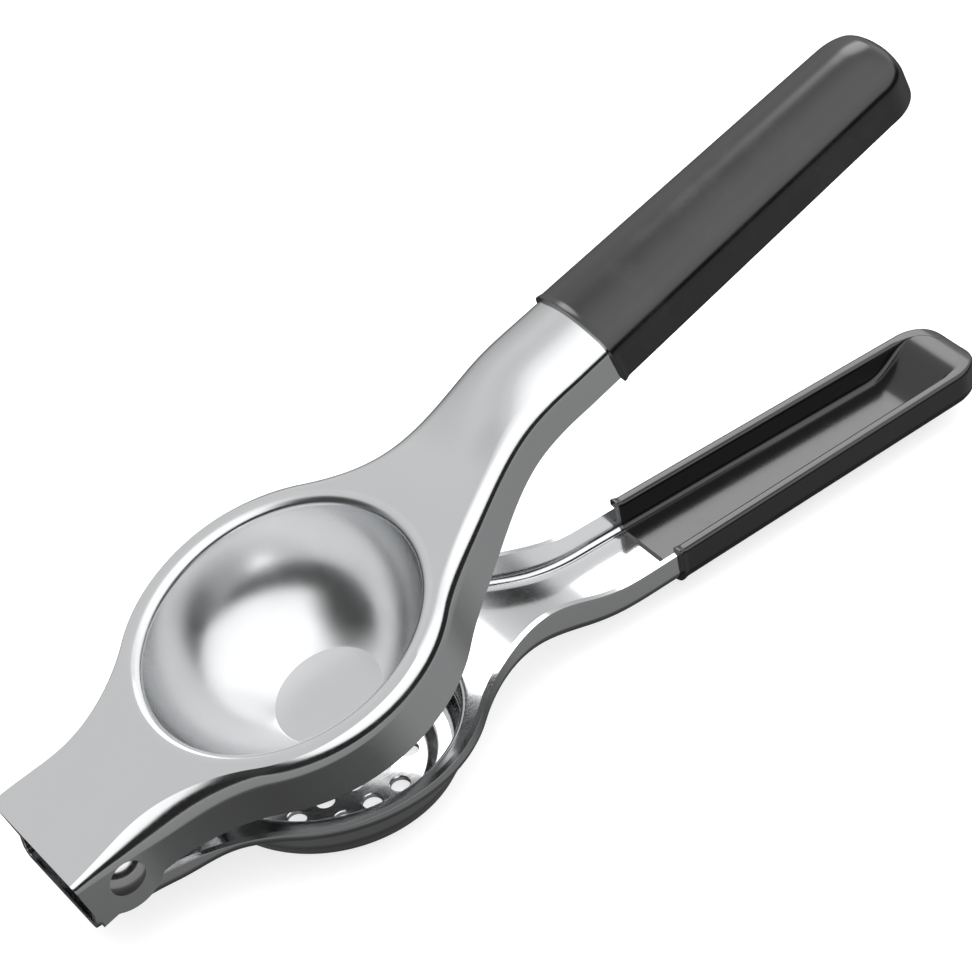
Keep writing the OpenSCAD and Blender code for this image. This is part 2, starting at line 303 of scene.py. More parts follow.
def draped_grid(name: str, rows: list[list[tuple[float, float, float]]]) -> bpy.types.Object:
    """A grid primitive with each of its rows laid on a section of the shape.

    Args:
        name: The new object's name.
        rows: Sections along the piece, all with the same number of points.

    Returns:
        The shaped open surface.
    """
    across, along = len(rows[0]) - 1, len(rows) - 1
    bpy.ops.mesh.primitive_grid_add(x_subdivisions=across, y_subdivisions=along, size=1, location=(0, 0, 0))
    obj = bpy.context.active_object
    obj.name = name
    obj.data.name = name
    obj.data.vertices.foreach_set("co", np.array(rows, dtype=np.float32).ravel())
    obj.data.update()
    return obj


def turned(
    name: str, profile: list[tuple[float, float]], centre: tuple[float, float, float], sides: int
) -> bpy.types.Object:
    """A round shell, drawn as a circle and then extruded ring by ring along a profile.

    Args:
        name: The new object's name.
        profile: Pairs of radius and height from the outside in; a last radius of 0 closes the middle.
        centre: Where the axis stands.
        sides: Points round each ring.

    Returns:
        The open or closed shell.
    """
    radius, height = profile[0]
    x, y, z = centre
    bpy.ops.mesh.primitive_circle_add(vertices=sides, radius=radius, location=(x, y, z + height))
    obj = bpy.context.active_object
    bpy.ops.object.transform_apply(location=True)
    obj.name = name
    obj.data.name = name
    edit(obj)
    bpy.ops.mesh.select_all(action="SELECT")
    for next_r, next_z in profile[1:]:
        bpy.ops.mesh.extrude_region_move(TRANSFORM_OT_translate={"value": (0, 0, next_z - height)})
        if next_r > 0:
            k = next_r / radius
            bpy.ops.transform.resize(value=(k, k, 1), center_override=(x, y, z + next_z))
            radius = next_r
        else:
            bpy.ops.mesh.merge(type="CENTER")
        height = next_z
    bpy.ops.object.mode_set(mode="OBJECT")
    return obj


def thicken(shell: bpy.types.Object, sheet: float) -> None:
    """Gives an open bowl its wall, on the outside of the face that was drawn.

    Args:
        shell: The bowl's inner face.
        sheet: The wall's thickness.
    """
    edit(shell)
    bpy.ops.mesh.select_all(action="SELECT")
    bpy.ops.mesh.normals_make_consistent(inside=False)
    bpy.ops.object.mode_set(mode="OBJECT")
    offset = -1.0 if shell.data.polygons[0].normal.z > 0 else 1.0
    apply_modifier(shell, "SOLIDIFY", thickness=sheet, offset=offset, use_even_offset=True)


def post(
    name: str, radius: float, length: float, centre: tuple[float, float, float], sides: int, across: bool = False
) -> bpy.types.Object:
    """A plain round tool for cutting a hole.

    Args:
        name: The new object's name.
        radius: The hole's radius.
        length: The tool's length.
        centre: The tool's middle.
        sides: Points round it.
        across: True for a tool that lies along Y.

    Returns:
        The closed tool.
    """
    turn = (RIGHT_ANGLE, 0, 0) if across else (0, 0, 0)
    bpy.ops.mesh.primitive_cylinder_add(
        vertices=sides, radius=radius, depth=length, location=centre, rotation=turn
    )
    obj = bpy.context.active_object
    obj.name = name
    bpy.ops.object.transform_apply(location=True, rotation=True)
    return obj


def dress(obj: bpy.types.Object, material: bpy.types.Material) -> None:
    """Gives every face of a shape one material, in place of any that it has."""
    obj.data.materials.clear()
    obj.data.materials.append(material)


def finish_piece(obj: bpy.types.Object, place: Matrix, smooth_deg: float) -> None:
    """Puts a finished shape in the part's frame and shades it.

    Args:
        obj: The piece, drawn in millimetres in an arm's own frame.
        place: The move from that frame to the part's frame.
        smooth_deg: Edges sharper than this stay crisp.
    """
    make_outward(obj)
    obj.data.transform(place)
    obj.data.update()
    only(obj)
    bpy.ops.object.shade_smooth_by_angle(angle=math.radians(smooth_deg))
    apply_modifier(obj, "WEIGHTED_NORMAL", keep_sharp=True, weight=80)
    log.info("%s: %d faces, %s", obj.name, len(obj.data.polygons), [m.name for m in obj.data.materials if m])


def arm_place(open_deg: float) -> Matrix:
    """Move from an arm's own frame in millimetres to the part's frame in metres.

    Args:
        open_deg: How far the arm is swung up from the strainer arm.

    Returns:
        The move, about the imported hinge.
    """
    hinge = Vector(frame["joints"][0]["pos_m"])
    return Matrix.Translation(hinge) @ Matrix.Rotation(-math.radians(open_deg), 4, "Y") @ Matrix.Scale(MM, 4)


# ---------- finishes ----------


def linear(hex_colour: str) -> tuple[float, float, float, float]:
    """Turns an sRGB hex colour into linear values for a shader socket."""
    parts = [int(hex_colour[i : i + 2], 16) / 255 for i in (1, 3, 5)]
    return tuple([c / 12.92 if c <= 0.04045 else ((c + 0.055) / 1.055) ** 2.4 for c in parts] + [1.0])


def add_node(
    tree: bpy.types.NodeTree,
    kind: str,
    links: dict | None = None,
    stops: tuple[tuple[float, float], ...] = (),
    **settings: object,
) -> bpy.types.Node:
    """Adds a node with its settings and links.

    Args:
        tree: The node tree to add to.
        kind: The node's type.
        links: For each input's name or index, an output socket to link or a value to set.
        stops: For a colour ramp, pairs of place and grey value in rising order.
        settings: Values for the node's own properties.

    Returns:
        The new node.
    """
    node = tree.nodes.new(kind)
    for name, value in settings.items():
        setattr(node, name, value)
    for key, value in (links or {}).items():
        if isinstance(value, bpy.types.NodeSocket):
            tree.links.new(value, node.inputs[key])
        else:
            node.inputs[key].default_value = value
    for i, (place, grey) in enumerate(stops):
        elements = node.color_ramp.elements
        element = elements[i] if i < 2 else elements.new(place)
        element.position = place
        element.color = (grey, grey, grey, 1)
    return node


def new_tree(name: str) -> tuple[bpy.types.Material, bpy.types.NodeTree]:
    """Makes an empty node material.

    Args:
        name: The material's name.

    Returns:
        The material and its node tree.
    """
    material = bpy.data.materials.new(name)
    material.use_nodes = True
    material.node_tree.nodes.clear()
    return material, material.node_tree


@dataclass(frozen=True)
class SatinStainless:
    """Stamped 304 stainless sheet, drum-polished: bright and even, with a faint drawn grain and small nicks."""

    name: str = "stainless_sheet_satin_polished"
    colour: str = "#CDCECF"
    roughness: tuple[float, float] = (0.09, 0.17)
    # The drawn grain is about 0.05 mm wide on the real sheet; it is drawn at 0.35 mm so that it shows.
    grain_mm: float = 0.35
    grain_length_mm: float = 7.0
    # Soft patches that handling and drum-polishing leave.
    patch_mm: float = 14.0
    # Fine pits left by the tumbling media.
    pit_mm: float = 0.9

    def build(self) -> bpy.types.Material:
        """Builds the material.

        Returns:
            The material.
        """
        material, tree = new_tree(self.name)
        place = add_node(tree, "ShaderNodeTexCoord").outputs["Object"]
        across, along = 1 / (self.grain_mm * MM), 1 / (self.grain_length_mm * MM)
        drawn = add_node(
            tree, "ShaderNodeMapping", {"Vector": place, "Scale": (along, across, across)}
        ).outputs[0]
        grain = add_node(
            tree, "ShaderNodeTexNoise", {"Vector": drawn, "Scale": 1.0, "Detail": 3.0, "Roughness": 0.6}
        )
        patch = add_node(
            tree, "ShaderNodeTexNoise", {"Vector": place, "Scale": 1 / (self.patch_mm * MM), "Detail": 4.0}
        )
        pits = add_node(
            tree, "ShaderNodeTexNoise", {"Vector": place, "Scale": 1 / (self.pit_mm * MM), "Detail": 2.0}
        )
        worn = add_node(
            tree, "ShaderNodeMath", {0: grain.outputs[0], 1: patch.outputs[0]}, operation="ADD"
        ).outputs[0]
        rough = add_node(
            tree,
            "ShaderNodeMapRange",
            {
                "Value": worn,
                "From Min": 0.7,
                "From Max": 1.3,
                "To Min": self.roughness[0],
                "To Max": self.roughness[1],
            },
        ).outputs[0]
        fine = add_node(
            tree, "ShaderNodeBump", {"Strength": 0.05, "Distance": 0.02 * MM, "Height": grain.outputs[0]}
        )
        bumped = add_node(
            tree,
            "ShaderNodeBump",
            {"Strength": 0.12, "Distance": 0.02 * MM, "Height": pits.outputs[0], "Normal": fine.outputs[0]},
        )
        wavy = add_node(
            tree,
            "ShaderNodeBump",
            {"Strength": 0.25, "Distance": 0.05 * MM, "Height": patch.outputs[0], "Normal": bumped.outputs[0]},
        )
        shader = add_node(
            tree,
            "ShaderNodeBsdfPrincipled",
            {"Base Color": linear(self.colour), "Metallic": 1.0, "Roughness": rough, "Normal": wavy.outputs[0]},
        )
        add_node(tree, "ShaderNodeOutputMaterial", {"Surface": shader.outputs[0]})
        return material


@dataclass(frozen=True)
class SpunStainless:
    """Deep-drawn stainless bowl, spun against an abrasive pad: silky, with fine rings round the bowl's axis."""

    centre: tuple[float, float, float]
    tilt_deg: float
    name: str = "stainless_bowl_spun_satin"
    colour: str = "#CDCECF"
    roughness: tuple[float, float] = (0.18, 0.25)
    # Abrasive rings are about 0.1 mm apart on the real bowl; they are drawn at 0.4 mm so that they show.
    ring_mm: float = 0.4
    cloud_mm: float = 9.0

    def build(self) -> bpy.types.Material:
        """Builds the material.

        Returns:
            The material.
        """
        material, tree = new_tree(self.name)
        place = add_node(tree, "ShaderNodeTexCoord").outputs["Object"]
        moved = add_node(
            tree, "ShaderNodeVectorMath", {0: place, 1: self.centre}, operation="SUBTRACT"
        ).outputs[0]
        turned_back = add_node(
            tree, "ShaderNodeVectorRotate", {"Vector": moved, "Angle": math.radians(self.tilt_deg)}, rotation_type="Y_AXIS"
        ).outputs[0]
        parts = add_node(tree, "ShaderNodeSeparateXYZ", {0: turned_back})
        flat = add_node(tree, "ShaderNodeCombineXYZ", {0: parts.outputs[0], 1: parts.outputs[1]}).outputs[0]
        radius = add_node(tree, "ShaderNodeVectorMath", {0: flat}, operation="LENGTH").outputs["Value"]
        ringed = add_node(tree, "ShaderNodeCombineXYZ", {0: radius, 2: parts.outputs[2]}).outputs[0]
        rings = add_node(
            tree, "ShaderNodeTexNoise", {"Vector": ringed, "Scale": 1 / (self.ring_mm * MM), "Detail": 2.0}
        )
        cloud = add_node(
            tree, "ShaderNodeTexNoise", {"Vector": place, "Scale": 1 / (self.cloud_mm * MM), "Detail": 6.0}
        )
        rough = add_node(
            tree,
            "ShaderNodeMapRange",
            {
                "Value": cloud.outputs[0],
                "From Min": 0.3,
                "From Max": 0.7,
                "To Min": self.roughness[0],
                "To Max": self.roughness[1],
            },
        ).outputs[0]
        fine = add_node(
            tree, "ShaderNodeBump", {"Strength": 0.10, "Distance": 0.02 * MM, "Height": rings.outputs[0]}
        )
        wavy = add_node(
            tree,
            "ShaderNodeBump",
            {"Strength": 0.15, "Distance": 0.06 * MM, "Height": cloud.outputs[0], "Normal": fine.outputs[0]},
        )
        shader = add_node(
            tree,
            "ShaderNodeBsdfPrincipled",
            {"Base Color": linear(self.colour), "Metallic": 1.0, "Roughness": rough, "Normal": wavy.outputs[0]},
        )
        add_node(tree, "ShaderNodeOutputMaterial", {"Surface": shader.outputs[0]})
        return material


@dataclass(frozen=True)
class UpsetRivetSteel:
    """Cold-headed stainless rivet wire: brighter than the sheet, with faint rings from the heading die."""

    name: str = "rivet_steel_cold_headed"
    colour: str = "#C6C6C5"
    roughness: tuple[float, float] = (0.10, 0.20)
    # Rings from the heading die, drawn at their real pitch.
    ring_mm: float = 0.5
    scuff_mm: float = 1.5

    def build(self) -> bpy.types.Material:
        """Builds the material.

        Returns:
            The material.
        """
        material, tree = new_tree(self.name)
        place = add_node(tree, "ShaderNodeTexCoord").outputs["Object"]
        scuff = add_node(
            tree, "ShaderNodeTexNoise", {"Vector": place, "Scale": 1 / (self.scuff_mm * MM), "Detail": 5.0}
        )
        rings = add_node(
            tree, "ShaderNodeTexNoise", {"Vector": place, "Scale": 1 / (self.ring_mm * MM), "Detail": 2.0}
        )
        rough = add_node(
            tree,
            "ShaderNodeMapRange",
            {
                "Value": scuff.outputs[0],
                "From Min": 0.3,
                "From Max": 0.7,
                "To Min": self.roughness[0],
                "To Max": self.roughness[1],
            },
        ).outputs[0]
        bumped = add_node(
            tree, "ShaderNodeBump", {"Strength": 0.15, "Distance": 0.02 * MM, "Height": rings.outputs[0]}
        )
        shader = add_node(
            tree,
            "ShaderNodeBsdfPrincipled",
            {
                "Base Color": linear(self.colour),
                "Metallic": 1.0,
                "Roughness": rough,
                "Normal": bumped.outputs[0],
            },
        )
        add_node(tree, "ShaderNodeOutputMaterial", {"Surface": shader.outputs[0]})
        return material


@dataclass(frozen=True)
class DippedVinyl:
    """Plastisol vinyl, hot-dipped and gelled: black, glossy and slightly wavy, with soft scuffs from the hand."""

    name: str = "vinyl_dipped_black"
    colour: str = "#0C0C0D"
    scuffed: str = "#1B1B1C"
    roughness: tuple[float, float] = (0.20, 0.36)
    ior: float = 1.54
    # The slow waves that gelling leaves, and the fine skin texture, at real size.
    wave_mm: float = 9.0
    skin_mm: float = 0.8
    scuff_mm: float = 22.0

    def build(self) -> bpy.types.Material:
        """Builds the material.

        Returns:
            The material.
        """
        material, tree = new_tree(self.name)
        place = add_node(tree, "ShaderNodeTexCoord").outputs["Object"]
        wave = add_node(
            tree, "ShaderNodeTexNoise", {"Vector": place, "Scale": 1 / (self.wave_mm * MM), "Detail": 1.0}
        )
        skin = add_node(
            tree, "ShaderNodeTexNoise", {"Vector": place, "Scale": 1 / (self.skin_mm * MM), "Detail": 3.0}
        )
        scuff = add_node(
            tree, "ShaderNodeTexNoise", {
                "Vector": place, "Scale": 1 / (self.scuff_mm * MM), "Detail": 8.0, "Roughness": 0.7
            }
        )
        wear = ((0.52, 0.0), (0.72, 1.0))
        worn = add_node(tree, "ShaderNodeValToRGB", {0: scuff.outputs[0]}, stops=wear).outputs[0]
        rough = add_node(
            tree, "ShaderNodeMapRange", {
                "Value": worn, "To Min": self.roughness[0], "To Max": self.roughness[1]
            }
        ).outputs[0]
        tint = add_node(tree, "ShaderNodeMixRGB", {0: worn, 1: linear(self.colour), 2: linear(self.scuffed)})
        rippled = add_node(
            tree, "ShaderNodeBump", {"Strength": 0.35, "Distance": 0.08 * MM, "Height": wave.outputs[0]}
        )
        grained = add_node(
            tree,
            "ShaderNodeBump",
            {"Strength": 0.10, "Distance": 0.02 * MM, "Height": skin.outputs[0], "Normal": rippled.outputs[0]},
        )
        shader = add_node(
            tree,
            "ShaderNodeBsdfPrincipled",
            {
                "Base Color": tint.outputs[0],
                "Roughness": rough,
                "IOR": self.ior,
                "Coat Weight": 0.25,
                "Coat Roughness": 0.12,
                "Normal": grained.outputs[0],
            },
        )
        add_node(tree, "ShaderNodeOutputMaterial", {"Surface": shader.outputs[0]})
        return material


@dataclass(frozen=True)
class LightTable:
    """Opal acrylic of a light table: matt white, lit from below, with a barely visible tooth."""

    name: str = "opal_acrylic_light_table"
    colour: str = "#B8B8B8"
    glow: float = 0.72
    tooth_mm: float = 2.0

    def build(self) -> bpy.types.Material:
        """Builds the material.

        Returns:
            The material.
        """
        material, tree = new_tree(self.name)
        place = add_node(tree, "ShaderNodeTexCoord").outputs["Object"]
        tooth = add_node(
            tree, "ShaderNodeTexNoise", {"Vector": place, "Scale": 1 / (self.tooth_mm * MM), "Detail": 2.0}
        )
        bumped = add_node(
            tree, "ShaderNodeBump", {"Strength": 0.05, "Distance": 0.05 * MM, "Height": tooth.outputs[0]}
        )
        shader = add_node(
            tree,
            "ShaderNodeBsdfPrincipled",
            {
                "Base Color": linear(self.colour),
                "Roughness": 0.9,
                "Specular IOR Level": 0.0,
                "Emission Color": (1, 1, 1, 1),
                "Emission Strength": self.glow,
                "Normal": bumped.outputs[0],
            },
        )
        add_node(tree, "ShaderNodeOutputMaterial", {"Surface": shader.outputs[0]})
        return material


# ---------- sheet channels ----------


@dataclass
class Plan:
    """Outline of an arm seen from above: nose, concave blend, bowl, concave blend, tapering handle."""

    nose_half: float
    nose_blend: float
    bowl_half: float
    handle_half: float
    neck_blend: float
    bowl_x: float = 52.2
    set_end: float = 122.5
    steel_end: float = 203.0
    taper: float = 1.6

    def half(self, x: float) -> float:
        """Half-width of the outline at x.

        Args:
            x: Distance from the hinge.

        Returns:
            The half-width.
        """
        nx = self.bowl_x - math.sqrt(
            (self.bowl_half + self.nose_blend) ** 2 - (self.nose_half + self.nose_blend) ** 2
        )
        hx = self.bowl_x + math.sqrt(
            (self.bowl_half + self.neck_blend) ** 2 - (self.handle_half + self.neck_blend) ** 2
        )
        nt = self.bowl_x + (nx - self.bowl_x) * self.bowl_half / (self.bowl_half + self.nose_blend)
        ht = self.bowl_x + (hx - self.bowl_x) * self.bowl_half / (self.bowl_half + self.neck_blend)
        if x <= nx:
            return self.nose_half
        if x < nt:
            return self.nose_half + self.nose_blend - math.sqrt(self.nose_blend**2 - (x - nx) ** 2)
        if x <= ht:
            return math.sqrt(self.bowl_half**2 - (x - self.bowl_x) ** 2)
        if x < hx:
            return self.handle_half + self.neck_blend - math.sqrt(self.neck_blend**2 - (x - hx) ** 2)
        return self.handle_half - self.narrowing(x)

    def narrowing(self, x: float) -> float:
        """How far each side of the straight handle has closed in at x."""
        return self.taper * max(0.0, x - self.set_end) / (self.steel_end - self.set_end)


@dataclass
class Section:
    """One cross-section of a channel, as if its web were on top."""

    half: float
    web: float
    edge: float
    bend_in: float
    bend_down: float
    crown: float = 0.0
    fold_deg: float = 0.0
    skirt_points: int = 6
    bend_points: int = 10
    web_points: int = 15

    def path(self) -> list[tuple[float, float]]:
        """Outer face from the -Y edge over the web to the +Y edge.

        Returns:
            Pairs of y and z.
        """
        slope = math.atan2(2 * self.crown, max(self.half - self.bend_in, 1e-6))
        last = RIGHT_ANGLE - slope - math.radians(self.fold_deg)
        wide, tall = self.bend_in / (1 - math.cos(last)), self.bend_down / math.sin(last)
        base = self.web - self.bend_down
        side = []
        for i in range(self.skirt_points):
            side.append((self.half, self.edge + (base - self.edge) * i / self.skirt_points))
        for i in range(self.bend_points):
            a = last * (i / (self.bend_points - 1)) ** 1.5
            side.append((self.half - wide * (1 - math.cos(a)), base + tall * math.sin(a)))
        rim = side[-1][0]
        shares = [0.97] + [1 - (i + 1) / (self.web_points + 1) * 2 for i in range(self.web_points)] + [-0.97]
        top = [(-s * rim, self.web + self.crown * (1 - s * s)) for s in shares if abs(s) <= 0.971]
        top = sorted(set(top))
        return [(-y, z) for y, z in side] + top + [(y, z) for y, z in reversed(side)]


@dataclass
class Channel:
    """A bent sheet channel along an arm."""

    plan: Plan
    facing: Facing
    sheet: float = 1.2

    def section(self, x: float) -> Section:
        """The channel's section at x, as if its web were on top."""
        raise NotImplementedError

    def stations(self) -> list[float]:
        """Where the channel's sections stand."""
        raise NotImplementedError

    def surface(self, name: str) -> bpy.types.Object:
        """Lays a grid on the sections and gives it the sheet's thickness.

        Args:
            name: The new object's name.

        Returns:
            The closed channel.
        """
        sign = self.facing.value
        rows = [[(x, y, sign * z) for y, z in self.section(x).path()] for x in self.stations()]
        obj = draped_grid(name, rows)
        middle = obj.data.polygons[len(obj.data.polygons) // 2]
        if middle.normal.z * sign < 0:
            edit(obj)
            bpy.ops.mesh.select_all(action="SELECT")
            bpy.ops.mesh.flip_normals()
        apply_modifier(obj, "SOLIDIFY", thickness=self.sheet, offset=-1.0, use_even_offset=True, use_rim=True)
        apply_modifier(obj, "BEVEL", width=0.22, segments=2, limit_method="ANGLE", angle_limit=math.radians(50))
        return obj


@dataclass
class PressChannel(Channel):
    """The press arm's channel: web on top, skirt below, ears round the hinge."""

    nose_front: float = 9.0
    top: float = 7.6
    rise: float = 8.4
    flare_deg: float = 1.0
    set_start: float = 80.0
    skirt: float = 12.6
    handle_depth: float = 9.6
    skirt_blend: tuple[float, float] = (76.2, 112.5)
    ear_r: float = 7.7
    ear_front: float = 5.6
    crown: float = 1.4
    # The deep-drawn shoulder is wide and shallow beside the nose and tight round the bowl.
    shoulder_in: tuple[tuple[float, float], ...] = (
        (-12, 0.9), (13, 3.0), (40, 1.9), (58, 1.9), (78, 3.0), (122, 3.6)
    )
    shoulder_down: tuple[tuple[float, float], ...] = (
        (-12, 1.8), (12, 5.8), (34, 3.6), (58, 3.4), (76, 3.8), (122, 3.4)
    )
    # Angle of the crisp fold where the web turns into the shoulder.
    fold: tuple[tuple[float, float], ...] = ((-12, 20), (10, 52), (30, 52), (56, 42), (76, 0))

    def web(self, x: float) -> float:
        """Height of the web's top face at x."""
        lean = math.tan(math.radians(self.flare_deg)) * max(0.0, x - self.plan.set_end)
        return self.top + self.rise * ease(x, self.set_start, self.plan.set_end) + lean

    def edge(self, x: float) -> float:
        """Height of the skirt's free edge at x.

        Args:
            x: Distance from the hinge.

        Returns:
            The edge's place.
        """
        depth = self.skirt + (self.handle_depth - self.skirt) * ease(x, *self.skirt_blend)
        low = self.web(x) - depth
        if abs(x) < self.ear_r:
            low = min(low, -math.sqrt(self.ear_r**2 - x * x))
        return min(low, -self.ear_front) if x < 0 else low

    def section(self, x: float) -> Section:
        """The channel's section at x.

        Args:
            x: Distance from the hinge.

        Returns:
            The section.
        """
        arch = self.crown * ease(x, self.set_start, self.plan.set_end)
        shoulder = through(x, self.shoulder_in), through(x, self.shoulder_down)
        return Section(self.plan.half(x), self.web(x), self.edge(x), *shoulder, arch, through(x, self.fold))

    def stations(self) -> list[float]:
        """Where the channel's sections stand."""
        near = spread(-self.nose_front, self.ear_r, 0.45)
        return near + spread(self.ear_r, 40, 0.8) + spread(40, 130, 1.5) + spread(130, self.plan.steel_end, 8) + [
            self.plan.steel_end,
        ]


@dataclass
class StrainerChannel(Channel):
    """The strainer arm's channel: web below, flange above, ears round the hinge. Heights are down from the hinge."""

    nose_front: float = 7.8
    nose_drop: float = 10.0
    drop: float = 7.2
    ramp_x: tuple[float, float] = (7.7, 25.3)
    fall: float = 8.2
    set_start: float = 80.0
    flange_drop: float = 5.0
    neck_flange_drop: float = 2.2
    ear_zone: float = 11.2
    ear_r: float = 5.6
    handle_depth: float = 7.2
    bend_in: tuple[tuple[float, float], ...] = ((0, 2.4), (84, 2.4), (100, 3.8), (122, 3.4))
    bend_down: tuple[tuple[float, float], ...] = ((0, 2.4), (84, 2.4), (100, 3.0), (122, 2.8))

    def web(self, x: float) -> float:
        """Depth of the web's underside at x."""
        up = (self.nose_drop - self.drop) * ease(x, *self.ramp_x)
        return self.nose_drop - up + self.fall * ease(x, self.set_start, self.plan.set_end)

    def edge(self, x: float) -> float:
        """Depth of the flange's free edge at x.

        Args:
            x: Distance from the hinge.

        Returns:
            The edge's place.
        """
        if abs(x) < self.ear_r:
            return -math.sqrt(self.ear_r**2 - x * x)
        t = min(1.0, max(0.0, (x - self.ear_zone) / (self.set_start - self.ear_zone)))
        level = self.flange_drop - (self.flange_drop - self.neck_flange_drop) * t
        handle = self.web(x) - self.handle_depth
        return level + (handle - level) * ease(x, self.set_start, self.plan.set_end)

    def section(self, x: float) -> Section:
        """The channel's section at x."""
        return Section(
            self.plan.half(x), self.web(x), self.edge(x), through(x, self.bend_in), through(x, self.bend_down)
        )

    def stations(self) -> list[float]:
        """Where the channel's sections stand.

        Returns:
            Distances from the hinge.
        """
        near = spread(-self.nose_front, -self.ear_r, 0.45) + spread(-self.ear_r, self.ear_r, 0.35)
        rest = spread(self.ear_r, 40, 0.8) + spread(40, 130, 1.5) + spread(130, self.plan.steel_end, 8)
        return near + rest + [self.plan.steel_end]


# ---------- steel arms ----------


@dataclass
class PressArm:
    """The arm with the solid cup."""

    channel: PressChannel
    open_deg: float
    material: bpy.types.Material
    cup_material: bpy.types.Material
    cup_r: float = 30.5
    lip: float = 0.6
    opening: float = 1.0
    rim_r: float = 2.0
    depth: float = 24.2
    floor_r: float = 11.2
    sheet: float = 1.2
    bore_r: float = 2.5
    sides: int = 160

    def cup_profile(self) -> list[tuple[float, float]]:
        """Inner face of the cup from the flat web down over the rolled rim to the middle of its floor.

        Returns:
            Pairs of radius and height.
        """
        wall = self.cup_r - self.rim_r
        rise = (wall**2 + self.rim_r**2 - self.floor_r**2 - self.depth**2) / (2 * (self.depth - self.rim_r))
        ball = math.hypot(wall, self.rim_r + rise)
        top = math.asin((self.rim_r + rise) / ball)
        low = math.asin((self.depth + rise) / ball)
        roll = [(self.cup_r - self.rim_r * math.sin(a), self.rim_r * (math.cos(a) - 1)) for a in np.linspace(0, RIGHT_ANGLE, 13)]
        side = [(ball * math.cos(a), rise - ball * math.sin(a)) for a in np.linspace(top, low, 44)][1:-1]
        foot = filleted(
            [side[-1], (self.floor_r, -self.depth), (self.floor_r - 2, -self.depth)], [0, 0.5, 0], 5
        )
        return [(self.cup_r + self.lip, 0)] + roll + side[:-1] + foot + [(5, -self.depth), (0, -self.depth)]

    def build(self) -> bpy.types.Object:
        """Builds the arm: channel, cup opening, cup and rivet bores.

        Returns:
            The finished piece.
        """
        arm = self.channel.surface("press_arm_shell")
        dress(arm, self.material)
        x, top = self.channel.plan.bowl_x, self.channel.top
        combine(arm, post("cup_opening", self.cup_r + self.opening, 6, (x, 0, top), self.sides), "DIFFERENCE")
        cup = turned("cup", self.cup_profile(), (x, 0, top), self.sides)
        thicken(cup, self.sheet)
        dress(cup, self.cup_material)
        stitch(arm, cup, x, self.cup_r + self.lip, self.cup_r + self.opening, top - self.sheet / 2)
        combine(arm, post("rivet_bore", self.bore_r, 60, (0, 0, 0), 64, across=True), "DIFFERENCE")
        finish_piece(arm, arm_place(self.open_deg), SHEET_CREASE_DEG)
        return arm


@dataclass
class StrainerArm:
    """The arm with the perforated bowl."""

    channel: StrainerChannel
    material: bpy.types.Material
    mouth_r: float = 26.9
    lip: float = 1.7
    opening: float = 2.1
    floor_r: float = 18.5
    floor_drop: float = 20.6
    ledge_h: float = 2.2
    hole_r: float = 1.95
    hole_pitch: float = 6.6
    hole_rows: int = 5
    sheet: float = 1.2
    bore_r: float = 2.55
    sides: int = 160

    def bowl_profile(self) -> list[tuple[float, float]]:
        """Inner face of the bowl from the flat web round the mouth down to the middle of its floor.

        Returns:
            Pairs of radius and height.
        """
        top = -self.channel.drop + self.sheet
        floor = -self.floor_drop + self.sheet
        ledge = floor + self.ledge_h
        corners = [
            (self.mouth_r + self.lip, top),
            (self.mouth_r, top),
            (self.mouth_r - 0.5, ledge + 4.0),
            (self.mouth_r - 2.6, ledge + 0.2),
            (self.floor_r + 2.2, ledge),
            (self.floor_r, floor),
            (5.0, floor),
        ]
        return filleted(corners, [0, 1.5, 3.0, 1.8, 1.0, 0.9, 0], 8) + [(0, floor)]

    def hole_cutter(self) -> bpy.types.Object:
        """One tool with every juice hole: a square grid without its corners, each hole eased at both faces.

        Returns:
            The closed tool.
        """
        x, floor = self.channel.plan.bowl_x, -self.floor_drop
        bevel, past = 0.18, 0.3
        wide = self.hole_r + bevel + past
        profile = [
            (wide, 3.0),
            (wide, self.sheet + past),
            (self.hole_r, self.sheet - bevel),
            (self.hole_r, bevel),
            (wide, -past),
            (wide, -2.0),
        ]
        first = turned("juice_hole", profile, (x, 0, floor), 40)
        close_ends(first)
        make_outward(first)
        reach = (self.hole_rows - 1) // 2
        tools = [first]
        for i in range(-reach, reach + 1):
            for j in range(-reach, reach + 1):
                if abs(i) + abs(j) == 2 * reach or (i == 0 and j == 0):
                    continue
                twin = first.copy()
                twin.data = first.data.copy()
                twin.data.transform(Matrix.Translation((i * self.hole_pitch, j * self.hole_pitch, 0)))
                bpy.context.collection.objects.link(twin)
                tools.append(twin)
        only(*tools)
        bpy.ops.object.join()
        return bpy.context.active_object

    def build(self) -> bpy.types.Object:
        """Builds the arm: channel, bowl opening, bowl, juice holes and rivet bores.

        Returns:
            The finished piece.
        """
        arm = self.channel.surface("strainer_arm_shell")
        dress(arm, self.material)
        x = self.channel.plan.bowl_x
        combine(
            arm,
            post("bowl_opening", self.mouth_r + self.opening, 5, (x, 0, -self.channel.drop), self.sides),
            "DIFFERENCE",
        )
        bowl = turned("bowl", self.bowl_profile(), (x, 0, 0), self.sides)
        thicken(bowl, self.sheet)
        dress(bowl, self.material)
        combine(bowl, self.hole_cutter(), "DIFFERENCE")
        level = -self.channel.drop + self.sheet / 2
        stitch(arm, bowl, x, self.mouth_r + self.lip, self.mouth_r + self.opening, level)
        combine(arm, post("rivet_bore", self.bore_r, 60, (0, 0, 0), 64, across=True), "DIFFERENCE")
        finish_piece(arm, arm_place(0), SHEET_CREASE_DEG)
        return arm


# ---------- grips ----------


